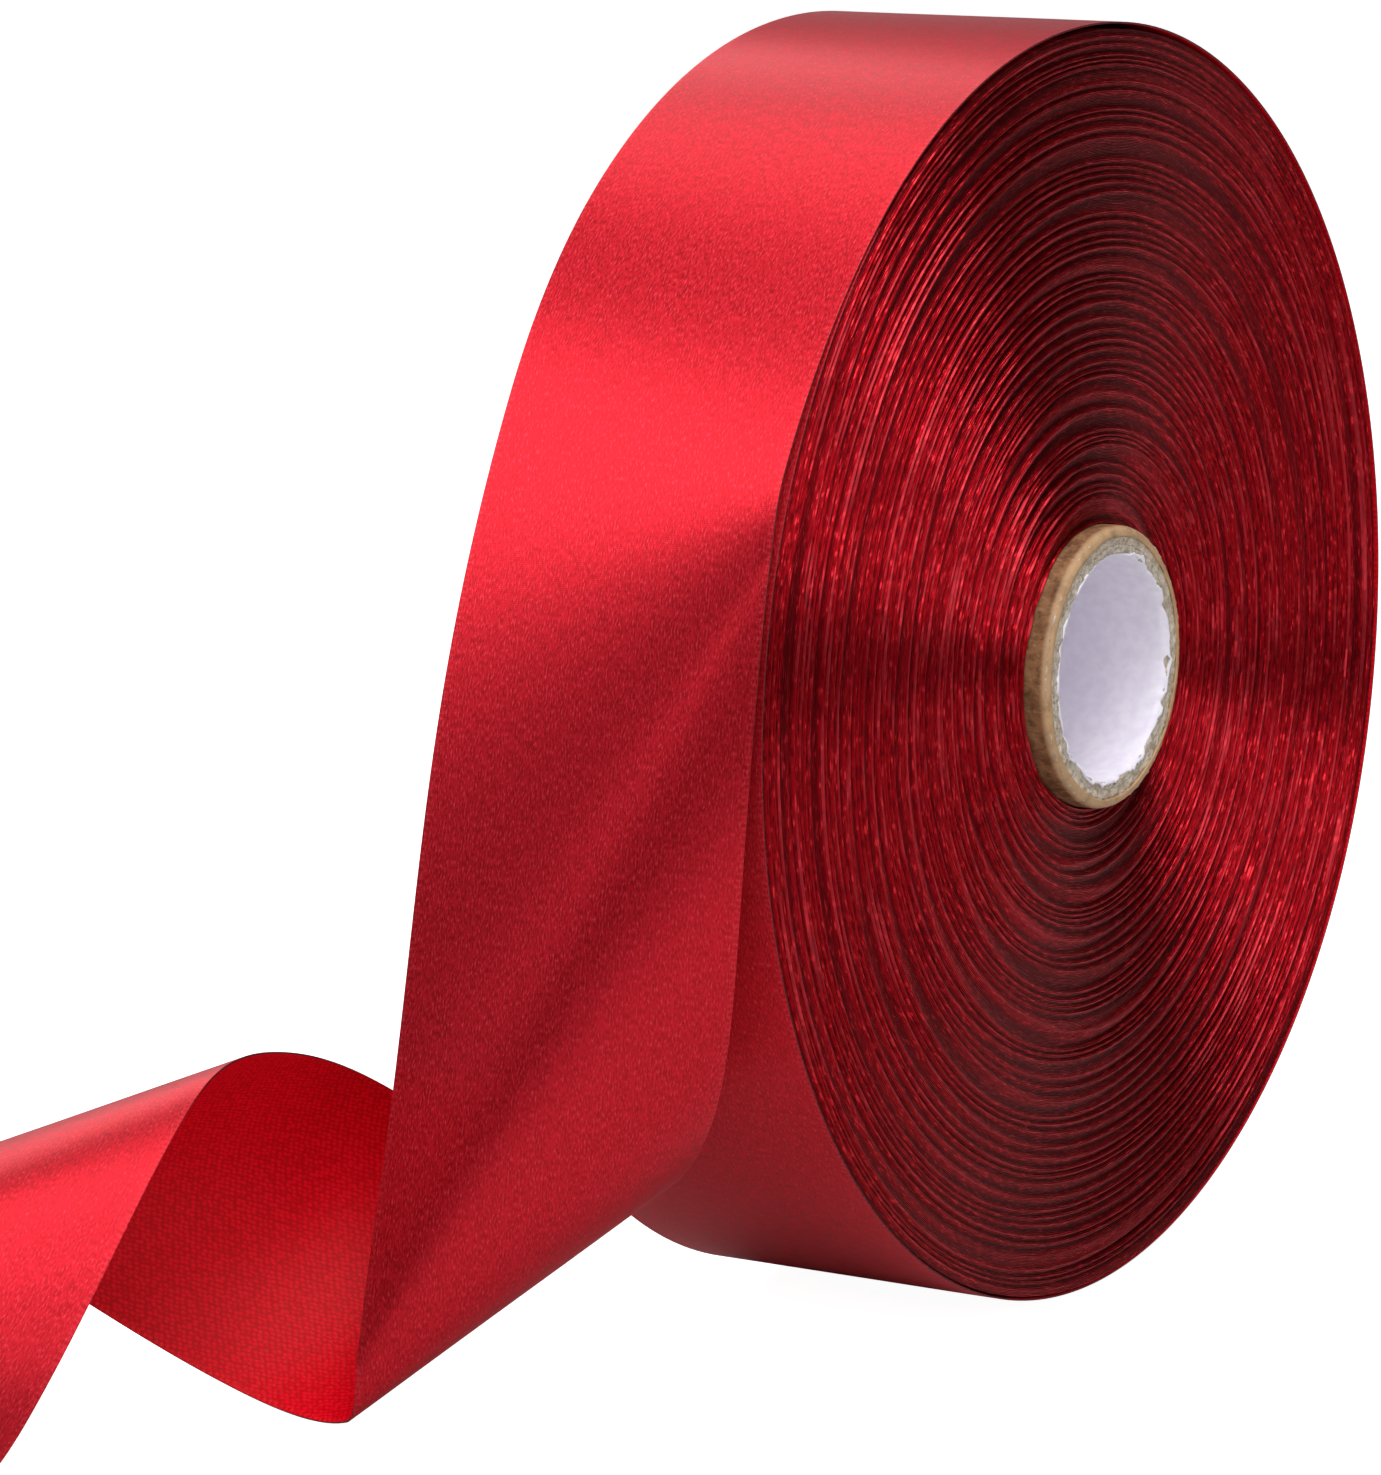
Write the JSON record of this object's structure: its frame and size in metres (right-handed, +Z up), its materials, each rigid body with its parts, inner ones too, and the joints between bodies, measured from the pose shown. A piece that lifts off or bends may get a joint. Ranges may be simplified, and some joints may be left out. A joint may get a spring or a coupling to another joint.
{
  "type": "ribbon spool",
  "caption": "Flangeless roll of satin ribbon wound on a cardboard tube that turns as ribbon is paid out, with its loose end curled beside it.",
  "frame": {"origin": "centre of the tube's bore, midway along it", "axes": "+Y along the bore, +Z up with the roll standing on its rim, -X towards the side where the ribbon leaves the roll"},
  "size_m": [0.2799, 0.1249, 0.1485],
  "materials": {
    "white_paper": "uncoated white paper",
    "chipboard": "rough cut grey-brown board",
    "kraft_paper": "smooth tan kraft",
    "tape": "double-sided tissue tape",
    "satin": "glossy single-face satin with a dull woven reverse"
  },
  "bodies": {
    "ribbon_end": {"ribbon_outer_turn": "satin", "ribbon_tail": "satin"},
    "roll": {"core_liner": "white_paper", "board_ply_inner": "chipboard", "board_ply_middle": "chipboard", "board_ply_outer": "chipboard", "core_wrap": "kraft_paper", "start_tape": "tape", "ribbon_winding": "satin"}
  },
  "joints": [
    {"name": "roll_turn", "type": "hinge", "parent": "ribbon_end", "child": "roll", "pos_m": [0, 0, 0], "axis": [0, -1, 0], "continuous": true}
  ]
}
